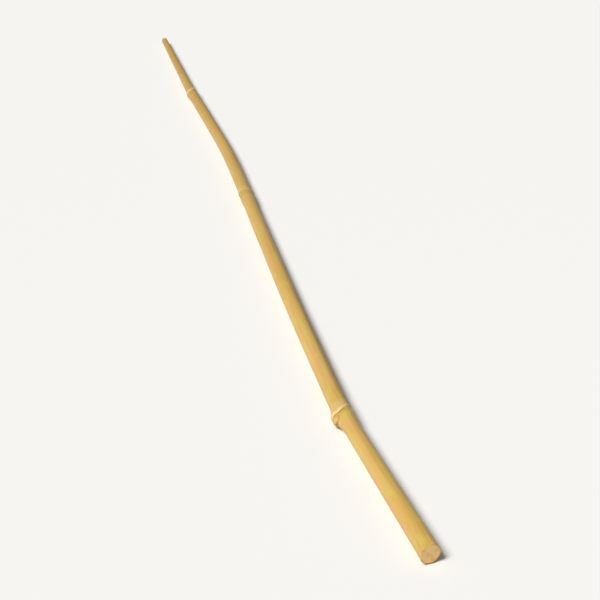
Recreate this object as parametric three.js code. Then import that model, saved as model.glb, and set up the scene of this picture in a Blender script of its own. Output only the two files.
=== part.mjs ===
// A bamboo cane: one grown culm, sawn off at both ends and dried, lying on its side on a flat surface.
// Millimetres, +Z up. +X runs along the cane from its thin end to its thick end.
// The origin is on the surface, under the middle of the cane's bounding box.
//
// The cane starts as a straight turned shape around its own axis. Its buds and flattened sides are
// then pressed out of the round, its sheath scars are leant over, and last it is bent along its real,
// slightly crooked line. Angles around the cane are 0 on the +Y side and grow towards +Z.

import * as THREE from 'three';

// ---- driving dimensions -------------------------------------------------------------------------

const caneLength = 1201;          // the common "four foot" garden cane
const sides = 24;                 // flats around the cane

// Lengths of cane between nodes, from the thin end to the thick one: diameter where each starts and ends.
const internodes = [
  { startDiameter: 6.4, endDiameter: 9.2 },
  { startDiameter: 10.2, endDiameter: 10.8 },
  { startDiameter: 10.7, endDiameter: 11.5 },
  { startDiameter: 10.2, endDiameter: 11.5 },
];

// The joints of the culm. Each has a scar, the raised ring left by the sheath, and a swollen crest some
// way past it. leanSide and leanTop are how far the scar leans along the cane at the +Y side and on top.
// Each also has a bud, on alternate sides of the cane, and the cane is flattened past the bud.
const nodes = [
  {
    at: 254, ringDiameter: 11.0, scarWidth: 2.0, leanSide: -4.5, leanTop: 5.0, crestGap: 6,
    budAngle: 185, budHeight: 0.5, flatDepth: 0.3,
  },
  {
    at: 606, ringDiameter: 11.8, scarWidth: 1.2, leanSide: 2.0, leanTop: 2.0, crestGap: 16,
    budAngle: -35, budHeight: 0.7, flatDepth: 0.4,
  },
  {
    at: 1033, ringDiameter: 12.6, scarWidth: 1.6, leanSide: -4.0, leanTop: 3.0, crestGap: 6,
    budAngle: 190, budHeight: 2.3, flatDepth: 0.4,
  },
];

// A node's relief along the cane, measured from the start of its scar.
const flareLength = 14;           // the cane widens over this length before the scar
const flareShare = 0.66;          // to this share of the scar's height
const flarePower = 1.5;           // slowly at first
const scarStep = 0.4;             // each side of the scar's ring rises over this length
const waistShare = 0.45;          // height left just past the scar, as a share of the scar's
const crestShare = 0.72;          // height of the crest, as a share of the scar's
const crestFall = 14;             // the crest fades into the plain cane over this length
const leanReach = 22;             // how far along the cane a scar's lean is felt
const scarWear = 0.15;            // the undersides of the scars are worn level, where the cane rests

// A bud's bulge and the flattened side past it, measured the same way.
const budStart = -14;
const budFull = 6;
const budTurn = 6.5;
const budEnd = 13.5;
const budSpread = 0.6;            // half-width around the cane, radians
const flatStart = 12;
const flatFull = 20;
const flatFade = 75;
const flatSpread = 1.0;           // half-width around the cane, radians

// The line of the cane seen from above: it turns a little at two nodes, bows once between two others
// and sweeps gently in the last internode but one.
const startSlope = -0.0014;
const bends = [
  { at: 250, turn: 0.0254, blend: 12 },
  { at: 475, turn: -0.054, blend: 28 },
  { at: 860, turn: 0.0135, blend: 30 },
  { at: 1034, turn: 0.070, blend: 8 },
];
const slopeStep = 0.5;            // half the step used to measure the line's slope

// Sawn ends.
const sawnEdge = 0.35;            // wear on the sharp edge
const thinCut = { up: 0.05, side: 0 };          // how far each cut leans from square, as slopes
const thickCut = { up: 0.13, side: -0.25 };
const slantReach = 14;            // a cut's slant fades into the cane over this length
const slantMiddle = 5.6;          // a section partway along that length

// Sections of the plain cane.
const sectionGap = 36;
const sectionClear = 27;          // none of them closer than this to a node

const colour = 0xd9b36c;
const roughness = 0.48;

// ---- the cane's form ----------------------------------------------------------------------------

// Smooth step from 0 at low to 1 at high.
const rise = (value, low, high) => THREE.MathUtils.smoothstep(value, low, high);

// Bell: 1 at zero, falling away both ways.
const bell = (value, width) => Math.exp(-((value / width) ** 2));

// Radius of the plain culm, without its nodes: a straight taper inside each internode.
function plainRadius(along) {
  const index = nodes.filter((node) => node.at <= along).length;
  const start = index === 0 ? 0 : nodes[index - 1].at;
  const end = index === nodes.length ? caneLength : nodes[index].at;
  const { startDiameter, endDiameter } = internodes[index];
  return THREE.MathUtils.mapLinear(along, start, end, startDiameter, endDiameter) / 2;
}

// Height of a node's round part above the plain culm: flare, scar, then waist and crest.
function roundRelief(past, node, plain) {
  const scarHeight = node.ringDiameter / 2 - plain;
  const crestAt = node.scarWidth + node.crestGap;
  if (past < 0) return scarHeight * flareShare * rise(past, -flareLength, 0) ** flarePower;
  if (past <= node.scarWidth) return scarHeight;
  const swelling = THREE.MathUtils.lerp(waistShare, crestShare, rise(past, node.scarWidth, crestAt));
  return scarHeight * swelling * (1 - rise(past, crestAt, crestAt + crestFall));
}

// Radius with the round part of each node.
function roundRadius(along) {
  const plain = plainRadius(along);
  return nodes.reduce((radius, node) => radius + roundRelief(along - node.at, node, plain), plain);
}

// How far the surface leaves the round at a place along the cane and an angle around it.
function budAndFlat(along, angle) {
  let offset = 0;
  for (const node of nodes) {
    const past = along - node.at;
    const turn = angle - THREE.MathUtils.degToRad(node.budAngle);
    const away = Math.atan2(Math.sin(turn), Math.cos(turn));
    const lengthwise = rise(past, budStart, budFull) * (1 - rise(past, budTurn, budEnd));
    offset += node.budHeight * lengthwise * bell(away, budSpread);
    const fading = past > flatStart ? rise(past, flatStart, flatFull) * bell(past - flatFull, flatFade) : 0;
    offset -= node.flatDepth * fading * bell(away, flatSpread);
  }
  return offset;
}

// How far a point slides along the cane, so that the scar near it leans.
function scarLean(along, angle) {
  let slide = 0;
  for (const node of nodes) {
    const lean = node.leanSide * Math.cos(angle) + node.leanTop * Math.sin(angle);
    slide += lean * bell(along - node.at, leanReach);
  }
  return slide;
}

// Sideways place of the cane's axis: straight runs joined by soft bends.
function axisSide(along) {
  let side = startSlope * along;
  for (const bend of bends) {
    side += bend.turn * bend.blend * Math.log1p(Math.exp((along - bend.at) / bend.blend));
  }
  return side;
}

// Direction of that line at a place, as a turn from +X.
function axisHeading(along) {
  const ahead = axisSide(along + slopeStep);
  const behind = axisSide(along - slopeStep);
  return Math.atan2(ahead - behind, 2 * slopeStep);
}

// Height of the axis: the cane rests on the scars of its three nodes, which have different sizes.
function axisHeight(along) {
  const flatToAxis = Math.cos(Math.PI / sides);
  const [first, middle, last] = nodes.map((node) => ({
    at: node.at + node.scarWidth / 2,
    height: (node.ringDiameter / 2) * flatToAxis,
  }));
  const [low, high] = along < middle.at ? [first, middle] : [middle, last];
  return THREE.MathUtils.mapLinear(along, low.at, high.at, low.height, high.height);
}

// How far a point slides along the cane near a sawn end, so that the cut leans from square.
function cutLean(along, side, height) {
  const nearThin = 1 - rise(along, 0, slantReach);
  const nearThick = rise(along, caneLength - slantReach, caneLength);
  const thin = height * thinCut.up + side * thinCut.side;
  const thick = height * thickCut.up + side * thickCut.side;
  return thin * nearThin + thick * nearThick;
}

// Places along the cane where its section is given: close together at nodes, wide apart between.
function stations() {
  const nearEnd = [sawnEdge, slantMiddle, slantReach];
  const places = [...nearEnd, ...nearEnd.map((place) => caneLength - place)];
  for (const node of nodes) {
    const crestAt = node.scarWidth + node.crestGap;
    const flare = [0.5, 0.25, 0.1].map((share) => -share * flareLength);
    const scar = [-scarStep, 0, node.scarWidth, node.scarWidth + scarStep];
    const crest = [crestAt - node.crestGap / 2, crestAt, crestAt + crestFall / 2, crestAt + crestFall];
    const bud = [budStart, (budTurn + budEnd) / 2, budEnd, flatFull];
    for (const step of [...flare, ...scar, ...crest, ...bud]) places.push(node.at + step);
  }
  for (let along = sectionGap; along < caneLength - sectionGap; along += sectionGap) {
    const clear = nodes.every((node) => Math.abs(along - node.at) > sectionClear);
    if (clear) places.push(along);
  }
  return places.sort((a, b) => a - b);
}

// ---- the solid ----------------------------------------------------------------------------------

// The turned blank: a profile from the axis at one sawn end to the axis at the other.
function turnedBlank() {
  const profile = [new THREE.Vector2(0, 0)];
  profile.push(new THREE.Vector2(roundRadius(0) - sawnEdge, 0));
  for (const along of stations()) profile.push(new THREE.Vector2(roundRadius(along), along));
  profile.push(new THREE.Vector2(roundRadius(caneLength) - sawnEdge, caneLength));
  profile.push(new THREE.Vector2(0, caneLength));
  return new THREE.LatheGeometry(profile, sides, Math.PI / sides);
}

// Moves one point of the blank to its place on the crooked cane.
// The blank stands along Y; its own -X becomes the cane's side and its own Z the cane's height.
function placeOnCane(point) {
  const angle = Math.atan2(point.z, -point.x);
  const round = Math.hypot(point.x, point.z);
  const radius = round === 0 ? 0 : round + budAndFlat(point.y, angle);
  const side = radius * Math.cos(angle);
  const height = radius * Math.sin(angle);
  const along = point.y + scarLean(point.y, angle);
  const heading = axisHeading(along);
  return new THREE.Vector3(
    along + cutLean(along, side, height) - side * Math.sin(heading),
    axisSide(along) + side * Math.cos(heading),
    Math.max(axisHeight(along) + height, scarWear),
  );
}

function caneGeometry() {
  const geometry = turnedBlank();
  const points = geometry.attributes.position;
  const point = new THREE.Vector3();
  for (let i = 0; i < points.count; i += 1) {
    point.fromBufferAttribute(points, i);
    points.setXYZ(i, ...placeOnCane(point));
  }
  geometry.computeBoundingBox();
  const { min, max } = geometry.boundingBox;
  geometry.translate(-(min.x + max.x) / 2, -(min.y + max.y) / 2, -min.z);
  geometry.computeVertexNormals();
  return geometry;
}

const cane = new THREE.Mesh(
  caneGeometry(),
  new THREE.MeshStandardMaterial({ color: colour, roughness, metalness: 0 }),
);
cane.name = 'bamboo_cane';

const object = new THREE.Group();
object.add(cane);

export default object;
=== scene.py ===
import math

import bpy
import numpy as np
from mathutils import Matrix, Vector


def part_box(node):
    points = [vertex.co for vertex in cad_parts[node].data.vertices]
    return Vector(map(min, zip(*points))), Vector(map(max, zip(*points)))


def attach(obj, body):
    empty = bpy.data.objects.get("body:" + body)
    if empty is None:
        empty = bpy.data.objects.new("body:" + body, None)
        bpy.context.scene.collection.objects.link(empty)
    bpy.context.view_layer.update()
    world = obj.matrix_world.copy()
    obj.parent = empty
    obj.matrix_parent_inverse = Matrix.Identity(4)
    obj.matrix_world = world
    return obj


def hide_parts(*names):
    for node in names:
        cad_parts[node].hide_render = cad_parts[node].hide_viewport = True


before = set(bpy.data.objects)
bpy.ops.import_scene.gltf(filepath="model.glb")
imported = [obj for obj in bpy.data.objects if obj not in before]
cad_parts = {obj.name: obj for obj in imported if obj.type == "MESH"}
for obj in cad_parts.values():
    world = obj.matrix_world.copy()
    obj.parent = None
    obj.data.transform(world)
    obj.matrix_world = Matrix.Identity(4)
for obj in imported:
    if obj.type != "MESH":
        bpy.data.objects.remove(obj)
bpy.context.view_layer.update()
boxLow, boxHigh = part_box("bamboo_cane")
mm = 0.001
print("frame loaded, cane box in mm:", [round(v / mm, 1) for v in (boxHigh - boxLow)])


# The cane's own measures, in millimetres and radians unless a note says otherwise. "along" runs from the
# thin sawn end to the thick one, angle 0 faces +Y and a quarter turn faces up.
# Ripples are pairs: how many waves go round the cane, and how deep they are.
cane = {
    "length": 1201,
    "internodes": [(6.4, 9.2), (10.2, 10.8), (10.7, 11.5), (10.2, 11.5)],  # start and end diameters
    # Each node: place, diameter and width of its scar; how far the scar leans along the cane at the +Y
    # side and on top; angle in degrees and height of its bud; depth of the flattened side past the bud;
    # distance from the scar to the crest; how pale the scar and the crest are; how strong the darker brown
    # spot beside the scar and the painted shade along the cane's upper +Y side before it are
    "nodes": [
        {"at": 254, "ring": 11.0, "scar": 2.0, "lean": (-4.5, 5.0), "bud": 185, "budHeight": 0.5,
         "flat": 0.3, "waist": 6, "pale": 1.0, "crest": 0.3, "stain": 0},
        {"at": 606, "ring": 11.8, "scar": 1.2, "lean": (2.0, 2.0), "bud": -35, "budHeight": 0.7,
         "flat": 0.4, "waist": 16, "pale": 0.2, "crest": 0.8, "stain": 0},
        {"at": 1033, "ring": 12.6, "scar": 1.6, "lean": (-4.0, 3.0), "bud": 190, "budHeight": 2.3,
         "flat": 0.4, "waist": 6, "pale": 1.0, "crest": 0.2, "stain": 1},
    ],
    "leanReach": 22,             # how far along the cane a scar's lean is felt
    "leanRipples": [(3, 0.12), (7, 0.05)],
    # heights at a node are shares of its scar's height above the plain cane
    "flareLength": 14,           # widening before the scar
    "flareShare": 0.66,
    "flarePower": 1.5,           # slowly at first
    "rimShare": 0.34,            # the scar's ring, on top of the flare
    "rimRipples": [(5, 0.10), (13, 0.06)],
    "rimRise": (-0.5, 0.3),      # where the ring rises, from the scar's start
    "rimFall": (-0.5, 0.3),      # and where it falls, from the scar's end
    "scarFall": (-0.2, 0.4),     # the step down to the waist, from the scar's end
    "waistShare": 0.45,
    "waistLevel": 1,             # length over which the waist stays level
    "crestShare": 0.72,
    "crestFall": 14,             # length over which the crest falls to the plain cane
    "budBand": (-14, 6, 6.5, 13.5),      # a bud starts, is full, falls and ends, past the scar's start
    "budHalfWidth": (0.95, 0.60),        # at its foot and at its tip
    "budNarrows": (2, 15),               # where it narrows from one to the other
    "budRoundness": 1.2,
    "flatRise": (12, 20),        # where the flattened side past a bud starts and is deepest
    "flatFade": 75,
    "flatSpread": 1.0,           # its half-width round the cane
    "startSlope": -0.0014,
    # each bend: place, turn and softness
    "bends": [(250, 0.0254, 12), (475, -0.054, 28), (860, 0.0135, 30), (1034, 0.070, 8)],
    "slopeStep": 0.5,            # half the step used to measure the line's slope
    "wear": 0.15,                # the scars' undersides are worn level by this much, where the cane rests
    # grown unevenness
    "swelling": (0.006, (97, 61, 38)),   # share of the radius, and wavelengths along the cane
    "oval": (0.010, 0.6, 260),           # share of the radius, angle, and length in which it turns by 1
    "ribs": [(11, 0.030), (17, 0.022), (29, 0.016)],
    "ribDrift": (1.5, (310, 190, 120)),  # how far ribs wander, as a phase, and over what wavelengths
    # sawn ends
    "sawnEdge": 0.35,            # rounding of the sawn rim
    "sawnWear": 0.85,            # share of that rounding taken off the radius
    "hewn": (5, 0.045, -1.29, 10),       # count, depth as a share, angle and reach of flats near the ends
    "thinCut": (0.05, 0.0),      # how far each cut leans from square, upwards and to the +Y side
    "thickCut": (0.13, -0.25),
    "slantReach": 14,
    "sawLines": {"depth": 0.035, "gap": 0.9, "slant": (0.9, 0.44), "waviness": 0.8},
    "tornFibres": {"depth": 0.03, "slant": 3, "lengths": (0.7, 1.1, 1.7)},
    "pith": {"depth": 0.1, "at": (0.3, -0.2), "halfWidth": 0.5},
    "faceStart": 0.12,           # share of the radius over which the face's relief starts at the rim
    # the grid
    "around": 96,                # steps round the cane
    "capRings": 16,              # rings on each sawn end
    "capSpacing": 0.9,           # below 1 draws them towards the rim
    "rowGap": 3.0,               # between rows on the plain cane
    "rowSpans": [(-17, -1.5, 0.7), (-1.5, 3.5, 0.25), (3.5, 24, 0.6)],  # at a node: from, to and gap
    "rimRows": (0, 0.12, 0.3, 0.6, 1),   # shares of the sawn edge
    "endRows": (1, 2, 3.5, 5, 7.5),
    "plainStart": 10,            # rows at the plain gap start this far from the ends
    "seed": 4,
}

# Colour marks at a node. A band starts, is full, fades and ends at these distances past the scar's start,
# or past the place its note names. A spot is a middle and a half-width, and a side is the same as angles.
marks = {
    "patchLevel": 0.35,                  # how much of the furrow shows, before its ripples
    "patchRipples": [(2, 0.45), (5, 0.35), (9, 0.25)],
    "furrowBand": (0, 0.5, 1.2, 3.6),    # past the scar's end
    "faintLine": 0.5,                    # strength of a second line
    "faintLineSpot": (-6, 2.5),          # from the crest
    "waistStart": (0, 1),                # past the scar's end
    "waistEnd": (-2, 1),                 # from the crest
    "crestSpot": (0, 2.2),               # from the crest
    "crestSide": (1.2, 0.7),
    "crestLeast": 0.3,                   # its strength away from that side
    "bloomBand": (-14, -1.5, -0.2, 0.3),
    "scarStart": (-1.1, -0.2),
    "scarFade": (-0.4, 0.5),             # from the pale band's end
    "scarSpill": 0.2,                    # how far the pale band reaches past the scar
    "scarSpillAtBud": 1.8,               # and how much further beside the bud
    "scarSpillWidth": 0.6,
    "dulled": 0.85,                      # how much less pale the scar is on the upper +Y side
    "dulledSide": (0.35, 0.55),
    # a darker brown spot beside the scar, on the upper +Y side
    "darkSpot": (-2.5, 4),
    "darkSpotSide": (0.6, 0.45),
    "streak": 0.58,                      # strength of the painted shade along the upper +Y side before the scar
    "paintedShadeSide": (0.75, 0.55),
    "paintedShadeBand": (-380, -100, -6, 0),
    # on the bud, a place across it is 0 in its middle and 1 or -1 at its edges
    # painted shade on the bud: at its tip, over the half towards its +1 edge, and in a line along its -1
    # edge; on the third node's bud these are its lower side and its upper edge
    "budTipSpot": (10.6, 1.2),
    "budTipAcross": (0, 0.8),
    "budFlankBand": (1, 6, 10.5, 13),
    "budFlankAcross": (0.5, 0.35),
    "budEdge": 0.6,                      # strength of the line along its other edge
    "budEdgeBand": (5, 8, 9.5, 12),
    "budEdgeAcross": (-0.9, 0.14),
    "budDarkHeight": 2,                  # a bud of this height or more gets its painted shade at full strength
}


def softStep(value, low, high):
    # smoothstep: 0 below low, 1 above high, 3t^2 - 2t^3 between
    t = np.clip((value - low) / (high - low), 0, 1)
    return t * t * (3 - 2 * t)


def band(value, start, full, fading, end):
    # softStep up from start to full, times 1 minus softStep from fading to end
    return softStep(value, start, full) * (1 - softStep(value, fading, end))


def bell(value, middle, width):
    # exp of minus ((value - middle) / width) squared: 1 at the middle, fading both ways
    return np.exp(-(((value - middle) / width) ** 2))


def slowWaves(place, lengths, rng):
    # sum of sines of these wavelengths with random phases, scaled to about -1..1
    total = np.zeros_like(place, float)
    for length in lengths:
        total += np.sin(2 * np.pi * place / length + rng.uniform(0, 2 * np.pi))
    return total / len(lengths)


def ripples(angle, waves, rng):
    # sum of sines round the cane, each with its count of waves, its depth and a random phase
    total = np.zeros_like(angle)
    for count, depth in waves:
        total += depth * np.sin(count * angle + rng.uniform(0, 2 * np.pi))
    return total


def axisSide(along):
    # straight runs joined by soft corners: each bend adds turn * softness * ln(1 + e^(past / softness))
    side = cane["startSlope"] * along
    for place, turn, softness in cane["bends"]:
        side = side + turn * softness * np.logaddexp(0, (along - place) / softness)
    return side


def axisHeading(along):
    # direction of that line, as a turn from +X: the arctangent of its rise over a short step
    step = cane["slopeStep"]
    return np.arctan((axisSide(along + step) - axisSide(along - step)) / (2 * step))


def axisHeight(along):
    # lines through the heights that put each node's scar on the floor, carried on to both ends
    places = np.array([node["at"] + node["scar"] / 2 for node in cane["nodes"]])
    heights = np.array([node["ring"] / 2 for node in cane["nodes"]])
    slopes = np.diff(heights) / np.diff(places)
    beforeMiddle = heights[1] + (along - places[1]) * slopes[0]
    pastMiddle = heights[1] + (along - places[1]) * slopes[1]
    return np.where(along < places[1], beforeMiddle, pastMiddle)


def plainRadius(along):
    # straight taper inside each internode, from its start diameter to its end diameter
    ends = [0] + [node["at"] for node in cane["nodes"]] + [cane["length"]]
    radius = np.zeros_like(along, float)
    for (start, end), low, high in zip(cane["internodes"], ends[:-1], ends[1:]):
        inside = (along >= low) & (along <= high)
        radius = np.where(inside, (start + (end - start) * (along - low) / (high - low)) / 2, radius)
    return radius


def nodeLean(along, angle, rng):
    # how far each point slides along the cane: near a scar, its lean to the side times the angle's
    # cosine, plus its lean on top times the sine, plus small ripples
    slide = np.zeros_like(along)
    for node in cane["nodes"]:
        toSide, onTop = node["lean"]
        uneven = ripples(angle, cane["leanRipples"], rng)
        reach = bell(along, node["at"], cane["leanReach"])
        slide += reach * (toSide * np.cos(angle) + onTop * np.sin(angle) + uneven)
    return slide


def ringRelief(past, angle, node, plain, rng):
    # the scar's height times the sum of a flare up to the scar, its ragged ring, and the waist, which
    # rises to the crest and then falls to the plain cane
    pastScar = past - node["scar"]
    crestAt = node["scar"] + node["waist"]
    passed = softStep(pastScar, *cane["scarFall"])
    flare = cane["flareShare"] * softStep(past, -cane["flareLength"], 0) ** cane["flarePower"] * (1 - passed)
    ragged = 1 + ripples(angle, cane["rimRipples"], rng)
    rim = softStep(past, *cane["rimRise"]) * (1 - softStep(pastScar, *cane["rimFall"]))
    rise = softStep(past, node["scar"] + cane["waistLevel"], crestAt)
    swelling = cane["waistShare"] * passed + (cane["crestShare"] - cane["waistShare"]) * rise
    crest = swelling * (1 - softStep(past, crestAt, crestAt + cane["crestFall"]))
    return (node["ring"] / 2 - plain) * (flare + cane["rimShare"] * ragged * rim + crest)


def budAndFlat(past, turn, across, node):
    # the bud is a dome, 1 minus its place across squared, that swells and ends along the cane; past it
    # the cane is flattened, in a bell round it and a fading bell along it
    dome = np.clip(1 - across ** 2, 0, 1) ** cane["budRoundness"]
    bud = node["budHeight"] * band(past, *cane["budBand"]) * dome
    start, deepest = cane["flatRise"]
    flat = softStep(past, start, deepest) * bell(past, deepest, cane["flatFade"])
    return bud - node["flat"] * flat * bell(turn, 0, cane["flatSpread"])


def nodeMarks(past, angle, turn, across, node, rng):
    # how strongly each colour shows at a node, from 0 to 1: bands along the cane times bells round it
    pastScar = past - node["scar"]
    pastCrest = pastScar - node["waist"]
    patchy = np.clip(marks["patchLevel"] + ripples(angle, marks["patchRipples"], rng), 0, 1)
    furrow = patchy * band(pastScar, *marks["furrowBand"])
    faintLine = marks["faintLine"] * patchy * node["crest"] * bell(pastCrest, *marks["faintLineSpot"])
    waist = softStep(pastScar, *marks["waistStart"]) * (1 - softStep(pastCrest, *marks["waistEnd"]))
    least = marks["crestLeast"]
    crest = (least + (1 - least) * bell(angle, *marks["crestSide"])) * bell(pastCrest, *marks["crestSpot"])

    dulled = 1 - marks["dulled"] * bell(angle, *marks["dulledSide"])
    spill = marks["scarSpill"] + marks["scarSpillAtBud"] * bell(turn, 0, marks["scarSpillWidth"])
    scar = softStep(past, *marks["scarStart"]) * (1 - softStep(pastScar - spill, *marks["scarFade"]))
    # a darker brown spot beside the scar, on the upper +Y side
    stain = bell(past, *marks["darkSpot"]) * bell(angle, *marks["darkSpotSide"])
    # painted shade: darker brown along the cane's upper +Y side, away from the sun, before the scar
    streak = marks["streak"] * bell(angle, *marks["paintedShadeSide"]) * band(past, *marks["paintedShadeBand"])

    # painted shade on the bud, deeper on taller buds: at its tip, over the half towards its +1 edge, and
    # along its -1 edge
    tip = bell(past, *marks["budTipSpot"]) * bell(across, *marks["budTipAcross"])
    flank = bell(across, *marks["budFlankAcross"]) * band(past, *marks["budFlankBand"])
    edge = marks["budEdge"] * bell(across, *marks["budEdgeAcross"]) * band(past, *marks["budEdgeBand"])
    budDark = min(1, node["budHeight"] / marks["budDarkHeight"])
    return {
        "scar": node["pale"] * dulled * scar,
        "furrow": np.maximum(furrow, faintLine),
        "waist": waist,
        "crest": node["crest"] * crest,
        "bloom": band(past, *marks["bloomBand"]),
        # one mark holds both the darker brown spot and the painted shade along the upper +Y side
        "stain": node["stain"] * np.maximum(stain, streak),
        "budShade": budDark * np.maximum(tip, np.maximum(flank, edge)),
    }


def nodeForm(along, angle, node, plain, rng):
    # one node's height above the plain cane and its colour marks. Its bud's angle is taken from each
    # point's angle, wrapped to half a turn either way, and divided by the bud's half-width there
    past = along - node["at"]
    turn = angle - np.radians(node["bud"])
    turn = np.arctan2(np.sin(turn), np.cos(turn))
    foot, tip = cane["budHalfWidth"]
    across = turn / (foot - (foot - tip) * softStep(past, *cane["budNarrows"]))
    relief = ringRelief(past, angle, node, plain, rng) + budAndFlat(past, turn, across, node)
    return relief, nodeMarks(past, angle, turn, across, node, rng)


def grownSurface(radius, along, angle, onSkin, rng):
    # radius times 1 plus slow swelling, times 1 plus an oval that turns slowly, plus fine ribs
    depth, lengths = cane["swelling"]
    radius = radius * (1 + depth * slowWaves(along, lengths, rng))
    depth, longSide, turnLength = cane["oval"]
    radius = radius * (1 + depth * np.cos(2 * (angle - longSide - along / turnLength)))
    drift, lengths = cane["ribDrift"]
    for count, depth in cane["ribs"]:
        twist = slowWaves(along, lengths, rng) * drift / count
        radius = radius + depth * np.sin(count * (angle + twist) + rng.uniform(0, 6)) * onSkin
    return radius


def sawnRims(radius, along, angle):
    # the rim is rounded as a quarter of an ellipse, and the ends are faintly hewn: radius times 1 plus
    # a cosine round the cane that fades away from the end
    fromEnd = np.minimum(along, cane["length"] - along)
    inset = 1 - np.clip(fromEnd / cane["sawnEdge"], 0, 1)
    radius = radius - cane["sawnEdge"] * cane["sawnWear"] * (1 - np.sqrt(1 - inset ** 2))
    count, depth, middle, reach = cane["hewn"]
    return radius * (1 + depth * np.cos(count * (angle - middle)) * (1 - softStep(fromEnd, 0, reach)))


def cutSlant(along, side, height):
    # how far a point slides along the cane so that a cut leans: height times its lean upwards plus side
    # times its lean sideways, fading away from that end
    nearThin = 1 - softStep(along, 0, cane["slantReach"])
    nearThick = softStep(along, cane["length"] - cane["slantReach"], cane["length"])
    slant = 0
    for (upwards, sideways), near in ((cane["thinCut"], nearThin), (cane["thickCut"], nearThick)):
        slant = slant + (height * upwards + side * sideways) * near
    return slant


def sawnRelief(side, height, rng):
    # the sawn face: shallow saw lines at a slant, torn fibre ends, and the pith's small dent
    saw, fibres, pith = cane["sawLines"], cane["tornFibres"], cane["pith"]
    toSide, up = saw["slant"]
    phase = (side * toSide + height * up) * 2 * np.pi / saw["gap"]
    lines = np.sin(phase + saw["waviness"] * np.sin(height))
    torn = slowWaves(side + fibres["slant"] * height, fibres["lengths"], rng)
    dent = bell(np.hypot(side - pith["at"][0], height - pith["at"][1]), 0, pith["halfWidth"])
    return saw["depth"] * lines + fibres["depth"] * torn - pith["depth"] * dent


def rowPlaces():
    # places of the grid's rows along the skin: evenly apart on the plain cane, closer round each node,
    # closest at its scar, and a few at each sawn rim
    plainRows = np.arange(cane["plainStart"], cane["length"] - cane["plainStart"], cane["rowGap"])
    nodeStart, nodeEnd = cane["rowSpans"][0][0], cane["rowSpans"][-1][1]
    places = []
    for node in cane["nodes"]:
        at = node["at"]
        plainRows = plainRows[(plainRows < at + nodeStart) | (plainRows > at + nodeEnd)]
        places += [np.arange(at + start, at + end, gap) for start, end, gap in cane["rowSpans"]]
    nearEnd = np.concatenate([cane["sawnEdge"] * np.array(cane["rimRows"]), cane["endRows"]])
    return np.sort(np.concatenate([plainRows, *places, nearEnd, cane["length"] - nearEnd]))


def caneGrid():
    # rows from the middle of the thin cut, over the skin, to the middle of the thick cut;
    # columns round the cane. Each point is a place along, a share of the radius and an angle.
    rng = np.random.default_rng(cane["seed"])
    skinRows = rowPlaces()
    inward = np.linspace(1, 0, cane["capRings"] + 1)[1:-1] ** cane["capSpacing"]
    capRow, skinRow = np.ones(len(inward)), np.ones(len(skinRows))
    rows = np.concatenate([0 * capRow, skinRows, cane["length"] * capRow])
    share = np.concatenate([inward[::-1], skinRow, inward])
    onCap = np.concatenate([capRow, 0 * skinRow, -capRow])   # 1 on the thin cut, -1 on the thick one
    angles = np.arange(cane["around"]) * 2 * np.pi / cane["around"]
    along, angle = np.meshgrid(rows, angles, indexing="ij")
    share = np.repeat(share[:, None], cane["around"], axis=1)
    onCap = np.repeat(onCap[:, None], cane["around"], axis=1)

    plain = plainRadius(along)
    radius = plain.copy()
    masks = {}
    for node in cane["nodes"]:
        relief, found = nodeForm(along, angle, node, plain, rng)
        radius = radius + relief
        for name, mask in found.items():
            masks[name] = np.maximum(masks.get(name, 0), mask)
    along = along + nodeLean(along, angle, rng)
    radius = grownSurface(radius, along, angle, share == 1, rng)
    radius = sawnRims(radius, along, angle) * share

    # sideways is square to the cane's line; all is lowered by the wear, and what that puts under the
    # floor is levelled
    side = radius * np.cos(angle)
    height = radius * np.sin(angle)
    face = onCap * sawnRelief(side, height, rng) * softStep(1 - share, 0, cane["faceStart"])
    heading = axisHeading(along)
    points = np.stack([
        along + cutSlant(along, side, height) - face - side * np.sin(heading),
        axisSide(along) + side * np.cos(heading),
        np.maximum(axisHeight(along) + height - cane["wear"], 0),
    ], axis=-1)
    straight = np.stack([along, side, height], axis=-1)
    return points, straight, masks, onCap


def poleFaces(pole, ring, forwards):
    # triangles from one pole to each step of the ring next to it
    onward = np.roll(ring, -1)
    first, second = (onward, ring) if forwards else (ring, onward)
    return np.stack([np.full(len(ring), pole), first, second], axis=1)


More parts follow.
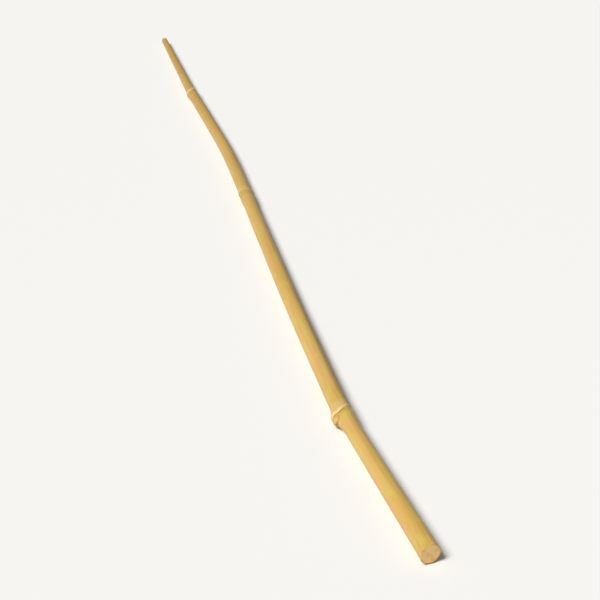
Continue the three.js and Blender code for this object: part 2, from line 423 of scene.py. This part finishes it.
def caneMesh():
    # the grid's quads, with a fan of triangles at the middle of each sawn face, centred in plan on the
    # CAD cane's box. Faces with a row on a cut are sawn bamboo, the rest is skin
    points, straight, masks, onCap = caneGrid()
    rowCount, columnCount = points.shape[:2]
    ids = np.arange(rowCount * columnCount).reshape(rowCount, columnCount)
    onward = np.roll(ids, -1, axis=1)
    quads = np.stack([ids[:-1], onward[:-1], onward[1:], ids[1:]], axis=-1).reshape(-1, 4)[:, ::-1]
    poles = np.array([points[0].mean(axis=0), points[-1].mean(axis=0)])
    straightPoles = np.array([straight[0].mean(axis=0), straight[-1].mean(axis=0)])
    thinPole = rowCount * columnCount
    fans = np.concatenate([poleFaces(thinPole, ids[0], False), poleFaces(thinPole + 1, ids[-1], True)])

    allPoints = np.concatenate([points.reshape(-1, 3), poles]) * mm
    low, high = allPoints.min(axis=0), allPoints.max(axis=0)
    shift = np.array((boxLow + boxHigh) / 2) - (low + high) / 2
    shift[2] = 0
    mesh = bpy.data.meshes.new("bambooCane")
    mesh.from_pydata((allPoints + shift).tolist(), [], quads.tolist() + fans.tolist())
    onCut = (onCap[:-1] != 0) | (onCap[1:] != 0)
    isSawn = np.concatenate([onCut.reshape(-1), np.ones(len(fans), bool)])
    mesh.polygons.foreach_set("material_index", isSawn.astype(np.int32))
    mesh.polygons.foreach_set("use_smooth", np.ones(len(mesh.polygons), bool))
    place = mesh.attributes.new("straightPlace", "FLOAT_VECTOR", "POINT")
    place.data.foreach_set("vector", np.concatenate([straight.reshape(-1, 3), straightPoles]).ravel())
    for name, mask in masks.items():
        attribute = mesh.attributes.new(name, "FLOAT", "POINT")
        attribute.data.foreach_set("value", np.concatenate([mask.ravel(), [0, 0]]))
    mesh.update()
    return mesh, Vector(shift)


def linearColour(hexCode):
    # sRGB hex to linear: ((c + 0.055) / 1.055) ^ 2.4 above the toe
    channels = [int(hexCode[i:i + 2], 16) / 255 for i in (1, 3, 5)]
    return [c / 12.92 if c <= 0.04045 else ((c + 0.055) / 1.055) ** 2.4 for c in channels] + [1]


def addNode(tree, kind, settings=None, links=None):
    # one node: settings go to its sockets or its own properties, and links join other nodes' outputs
    # to its sockets
    node = tree.nodes.new(kind)
    for name, value in (settings or {}).items():
        if isinstance(name, int) or name in node.inputs:
            node.inputs[name].default_value = value
        else:
            setattr(node, name, value)
    for name, output in (links or {}).items():
        tree.links.new(output, node.inputs[name])
    return node


def newMaterial(name):
    # an empty node tree with its shader and output
    material = bpy.data.materials.new(name)
    material.use_nodes = True
    tree = material.node_tree
    tree.nodes.clear()
    shader = addNode(tree, "ShaderNodeBsdfPrincipled")
    addNode(tree, "ShaderNodeOutputMaterial", links={"Surface": shader.outputs["BSDF"]})
    return material, tree, shader


def layColours(tree, fields, ground, layers):
    # each layer's colour goes over what is under it, where its field goes from low to high, up to its
    # strength
    colour = None
    for field, low, high, strength, hexCode in layers:
        amount = addNode(tree, "ShaderNodeMapRange", {
            "interpolation_type": "SMOOTHSTEP", "From Min": low, "From Max": high, "To Max": strength,
        }, {"Value": fields[field]})
        settings = {"data_type": "RGBA", 7: linearColour(hexCode)}
        links = {0: amount.outputs["Result"]}
        if colour:
            links[6] = colour
        else:
            settings[6] = linearColour(ground)
        colour = addNode(tree, "ShaderNodeMix", settings, links).outputs[2]
    return colour


# Each layer of colour: its pattern or mark, the values at which it starts and is full, its strength and
# its colour. Later layers lie over earlier ones.
skin = {
    "straw": "#D4AF62",
    "layers": [
        ("toneGrain", 0.38, 0.62, 0.8, "#CDA453"),       # ochre
        ("rosyGrain", 0.50, 0.66, 0.8, "#D8A46A"),
        ("oliveGrain", 0.50, 0.66, 0.8, "#CDB55A"),
        ("streakGrain", 0.52, 0.72, 0.45, "#BD9349"),
        ("fibreGrain", 0.50, 0.75, 0.35, "#B18840"),
        # painted shade: the skin darkens to khaki towards the thin end
        ("along", 1150, 0, 0.7, "#B38F51"),              # khaki, stronger towards the thin end
        ("speck", 0.75, 0.95, 0.9, "#6E4A22"),
        ("bloom", 0, 1, 0.6, "#DAB477"),
        ("waist", 0, 1, 0.45, "#BE9B49"),
        ("furrow", 0, 1, 0.9, "#8F763C"),
        # darker brown spot beside the third scar, and painted shade along the upper +Y side before it
        ("stain", 0, 1, 0.9, "#82501F"),
        ("crest", 0, 1, 1, "#D0AB72"),
        ("scar", 0, 1, 1, "#E2C384"),
        # painted shade at the bud's tip and along its sides
        ("budShade", 0, 1, 0.75, "#8A5C2A"),
    ],
    # each pattern's grain: length and width in mm, and noise detail. Real fibres are 0.3 mm apart,
    # drawn at 0.7 mm so that they show
    "grain": {"tone": (90, 28, 2), "rosy": (13, 7, 3), "olive": (17, 7, 2), "streak": (90, 2.4, 3),
              "fibre": (40, 0.7, 3)},
    "speckCell": 7,              # mm between the places where a speck may be
    "speckDot": (0.11, 0.05),    # shares of that: where its edge starts and where it is full
    "roughness": (0.40, 0.54),
    "roughGrain": (0.3, 0.7),    # values of the rosy grain that give those two
    "bump": (0.35, 0.04),        # strength, and height in mm
    "ior": 1.5,
    "specular": 0.35,
}


def bambooSkin():
    # dried bamboo skin: a hard, silica-rich rind, so a satin gloss over straw yellow, with lengthwise
    # fibres, rosy and olive blotches where it dried unevenly, painted shade that darkens it towards the
    # thin end, and a pale bloom before each scar
    material, tree, shader = newMaterial("dried bamboo skin")
    place = addNode(tree, "ShaderNodeAttribute", {"attribute_name": "straightPlace"}).outputs["Vector"]
    fields = {"along": addNode(tree, "ShaderNodeSeparateXYZ", links={0: place}).outputs["X"]}
    for name in ("scar", "furrow", "waist", "crest", "bloom", "stain", "budShade"):
        fields[name] = addNode(tree, "ShaderNodeAttribute", {"attribute_name": name}).outputs["Fac"]
    for name, (length, width, detail) in skin["grain"].items():
        scale = (1 / length, 1 / width, 1 / width)
        grain = addNode(tree, "ShaderNodeMapping", {"Scale": scale}, {"Vector": place})
        noise = addNode(tree, "ShaderNodeTexNoise", {"Scale": 1, "Detail": detail},
                        {"Vector": grain.outputs["Vector"]})
        fields[name + "Grain"] = noise.outputs["Fac"]

    # specks: a dot in the middle of some of a pattern's cells
    cells = addNode(tree, "ShaderNodeTexVoronoi", {"Scale": 1 / skin["speckCell"]}, {"Vector": place})
    rare = addNode(tree, "ShaderNodeSeparateColor", links={"Color": cells.outputs["Color"]})
    dotEdge, dotFull = skin["speckDot"]
    dot = addNode(tree, "ShaderNodeMapRange", {"From Min": dotEdge, "From Max": dotFull},
                  {"Value": cells.outputs["Distance"]})
    fields["speck"] = addNode(tree, "ShaderNodeMath", {"operation": "MULTIPLY"},
                              {0: dot.outputs["Result"], 1: rare.outputs[0]}).outputs[0]

    tree.links.new(layColours(tree, fields, skin["straw"], skin["layers"]), shader.inputs["Base Color"])
    smoothest, roughest = skin["roughness"]
    low, high = skin["roughGrain"]
    rough = addNode(tree, "ShaderNodeMapRange", {
        "From Min": low, "From Max": high, "To Min": smoothest, "To Max": roughest,
    }, {"Value": fields["rosyGrain"]})
    tree.links.new(rough.outputs["Result"], shader.inputs["Roughness"])
    strength, height = skin["bump"]
    bump = addNode(tree, "ShaderNodeBump", {"Strength": strength, "Distance": height * mm},
                   {"Height": fields["fibreGrain"]})
    tree.links.new(bump.outputs["Normal"], shader.inputs["Normal"])
    shader.inputs["IOR"].default_value = skin["ior"]
    shader.inputs["Specular IOR Level"].default_value = skin["specular"]
    return material


sawn = {
    "flesh": "#F2C886",
    "layers": [
        ("stain", 0.40, 0.70, 0.7, "#DBAE70"),
        ("bundle", 0.34, 0.18, 0.35, "#AF8249"),
        ("reach", 4.8, 5.7, 0.8, "#B88D58"),             # the rind, mm from the cane's middle
        ("fromPith", 0.8, 0.25, 0.2, "#94703F"),         # mm from the pith's middle
    ],
    "stainSize": 3.5,            # mm
    "stainDetail": 3,
    "bundleGap": 0.6,            # 0.35 mm in life, drawn wider so that the bundles show
    "bump": (0.4, 0.08),         # strength, and height in mm
    "roughness": 0.8,
    "ior": 1.5,
}


def sawnBamboo():
    # sawn bamboo end: matt, pinkish tan, with the dark dots of its vessel bundles, a darker rind
    # and a small brown pith
    material, tree, shader = newMaterial("sawn bamboo end")
    place = addNode(tree, "ShaderNodeAttribute", {"attribute_name": "straightPlace"}).outputs["Vector"]
    section = addNode(tree, "ShaderNodeVectorMath", {"operation": "MULTIPLY", 1: (0, 1, 1)},
                      {0: place}).outputs["Vector"]
    reach = addNode(tree, "ShaderNodeVectorMath", {"operation": "LENGTH"}, {0: section})
    fromPith = addNode(tree, "ShaderNodeVectorMath", {"operation": "DISTANCE", 1: (0, *cane["pith"]["at"])},
                       {0: section})
    stain = addNode(tree, "ShaderNodeTexNoise", {
        "Scale": 1 / sawn["stainSize"], "Detail": sawn["stainDetail"],
    }, {"Vector": section})
    bundles = addNode(tree, "ShaderNodeTexVoronoi", {"Scale": 1 / sawn["bundleGap"]}, {"Vector": section})
    fields = {"reach": reach.outputs["Value"], "fromPith": fromPith.outputs["Value"],
              "stain": stain.outputs["Fac"], "bundle": bundles.outputs["Distance"]}
    tree.links.new(layColours(tree, fields, sawn["flesh"], sawn["layers"]), shader.inputs["Base Color"])
    strength, height = sawn["bump"]
    bump = addNode(tree, "ShaderNodeBump", {"Strength": strength, "Distance": height * mm},
                   {"Height": fields["bundle"]})
    tree.links.new(bump.outputs["Normal"], shader.inputs["Normal"])
    shader.inputs["Roughness"].default_value = sawn["roughness"]
    shader.inputs["IOR"].default_value = sawn["ior"]
    return material


mesh, placed = caneMesh()
caneObject = bpy.data.objects.new("bamboo_cane_surface", mesh)
bpy.context.scene.collection.objects.link(caneObject)
caneObject.data.materials.append(bambooSkin())
caneObject.data.materials.append(sawnBamboo())
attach(caneObject, "root")
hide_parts("bamboo_cane")
print("cane made:", len(mesh.vertices), "points,", len(mesh.polygons), "faces")


floor = {"halfSize": 14.0, "colour": "#F4F3F0", "roughness": 0.9, "specular": 0.1}  # size in metres


def makeFloor():
    # a flat square of this half size, wide enough to fill the view
    half = floor["halfSize"]
    corners = [(-half, -half, 0), (half, -half, 0), (half, half, 0), (-half, half, 0)]
    square = bpy.data.meshes.new("floor")
    square.from_pydata(corners, [], [(0, 1, 2, 3)])
    floorObject = bpy.data.objects.new("floor", square)
    bpy.context.scene.collection.objects.link(floorObject)
    # matt painted board: even and pale, with hardly any gloss, so that only soft shade shows on it
    material, tree, shader = newMaterial("matt white board")
    shader.inputs["Base Color"].default_value = linearColour(floor["colour"])
    shader.inputs["Roughness"].default_value = floor["roughness"]
    shader.inputs["Specular IOR Level"].default_value = floor["specular"]
    square.materials.append(material)


# The viewer stands past the thick end, a little to the -Y side. Places are in metres, measured as the
# cane is: along it from the thin end, to its side, and up. Turns are in degrees, the lens in mm.
camera = {
    "along": 1.8700, "side": -0.1944, "height": 0.4165,
    "heading": 79.184, "pitch": 21.586,
    "lens": 96.13, "sensorWidth": 36,
}


def makeCamera():
    # turned to its heading about +Z, and tipped down from level by its pitch
    data = bpy.data.cameras.new("camera")
    data.sensor_width = camera["sensorWidth"]
    data.lens = camera["lens"]
    cameraObject = bpy.data.objects.new("camera", data)
    bpy.context.scene.collection.objects.link(cameraObject)
    cameraObject.location = Vector((camera["along"], camera["side"], camera["height"])) + placed
    cameraObject.rotation_euler = (math.radians(90 - camera["pitch"]), 0, math.radians(camera["heading"]))
    bpy.context.scene.camera = cameraObject


# Angles in degrees. The sun's azimuth goes from +X to +Y, and its spread is how wide it looks.
lights = {
    "sun": {"azimuth": -52.6, "elevation": 49, "strength": 3.55, "spread": 24},
    "sky": 0.17,
}


def makeLights():
    # one wide soft sun from behind the viewer's left shoulder, and an even white sky
    sun = lights["sun"]
    azimuth, elevation = math.radians(sun["azimuth"]), math.radians(sun["elevation"])
    towards = Vector((math.cos(azimuth) * math.cos(elevation), math.sin(azimuth) * math.cos(elevation),
                      math.sin(elevation)))
    data = bpy.data.lights.new("sun", "SUN")
    data.energy = sun["strength"]
    data.angle = math.radians(sun["spread"])
    lamp = bpy.data.objects.new("sun", data)
    lamp.rotation_euler = towards.to_track_quat("Z", "Y").to_euler()
    bpy.context.scene.collection.objects.link(lamp)
    world = bpy.data.worlds.new("white sky")
    world.use_nodes = True
    background = world.node_tree.nodes["Background"]
    background.inputs["Color"].default_value = (1, 1, 1, 1)
    background.inputs["Strength"].default_value = lights["sky"]
    bpy.context.scene.world = world
    bpy.context.scene.view_settings.view_transform = "Standard"


makeFloor()
makeCamera()
makeLights()
print("floor, camera and lights made")
